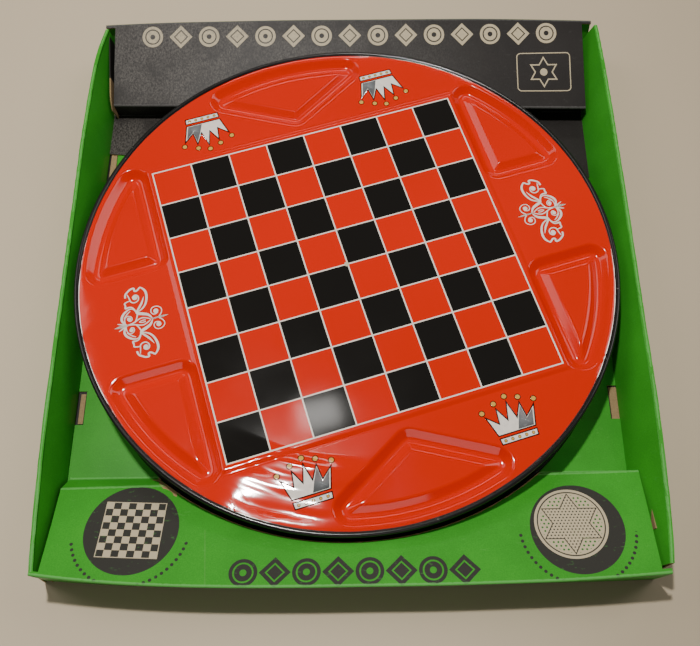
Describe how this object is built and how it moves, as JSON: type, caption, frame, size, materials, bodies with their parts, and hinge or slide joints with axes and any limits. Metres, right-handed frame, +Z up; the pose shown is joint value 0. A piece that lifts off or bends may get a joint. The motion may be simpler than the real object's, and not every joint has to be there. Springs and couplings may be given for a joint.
{
  "type": "checkers set",
  "caption": "Round red tin checkers board with pressed wells and a star game underneath, pieces and marbles inside, in an open green and black paperboard tray.",
  "frame": {"origin": "centre of the tray's underside, on the table", "axes": "+X along the tray's width, +Y towards the black title end, +Z up"},
  "size_m": [0.3492, 0.39, 0.0348],
  "materials": {
    "tray_green": "green printed paperboard, satin",
    "tray_black": "black printed paperboard, scuffed",
    "kraft_board": "bare kraft board, matte",
    "red_tin": "red litho printed tin, gloss",
    "black_tin": "black enamelled tin, gloss",
    "plated_steel": "plated steel, satin",
    "red_plastic": "red moulded plastic",
    "black_plastic": "black moulded plastic",
    "red_glass": "opaque red glass",
    "blue_glass": "opaque blue glass",
    "green_glass": "opaque green glass",
    "yellow_glass": "opaque yellow glass",
    "white_glass": "opaque white glass",
    "black_glass": "opaque black glass"
  },
  "bodies": {
    "tray": {"tray_floor": "tray_green", "left_side_wall": "tray_green", "right_side_wall": "tray_green", "left_lock_tabs": "kraft_board", "right_lock_tabs": "kraft_board", "near_end_wall": "tray_green", "near_shelf": "tray_green", "near_riser": "tray_green", "near_foot_flap": "tray_green", "far_end_wall": "tray_black", "far_shelf": "tray_black", "far_riser": "tray_black", "far_foot_flap": "tray_black", "near_left_gusset": "kraft_board", "near_right_gusset": "kraft_board", "far_left_gusset": "kraft_board", "far_right_gusset": "kraft_board"},
    "board": {"checker_face": "red_tin", "star_face": "red_tin", "upper_rim_bead": "black_tin", "lower_rim_bead": "black_tin", "rim_band": "black_tin", "hatch_leaf": "plated_steel", "hatch_pin": "plated_steel", "hatch_rivets": "plated_steel", "red_checkers": "red_plastic", "black_checkers": "black_plastic", "red_marbles": "red_glass", "blue_marbles": "blue_glass", "green_marbles": "green_glass", "yellow_marbles": "yellow_glass", "white_marbles": "white_glass", "black_marbles": "black_glass"},
    "hatch": {"hatch_door": "black_tin"}
  },
  "joints": [
    {"name": "board_lift", "type": "slide", "parent": "tray", "child": "board", "axis": [0, 0, 1], "range_m": [0, 0.06]},
    {"name": "hatch_swing", "type": "hinge", "parent": "board", "child": "hatch", "pos_m": [-0.1332, 0.10295, 0.0185], "axis": [0, 0, -1], "range_deg": [0, 90]}
  ]
}
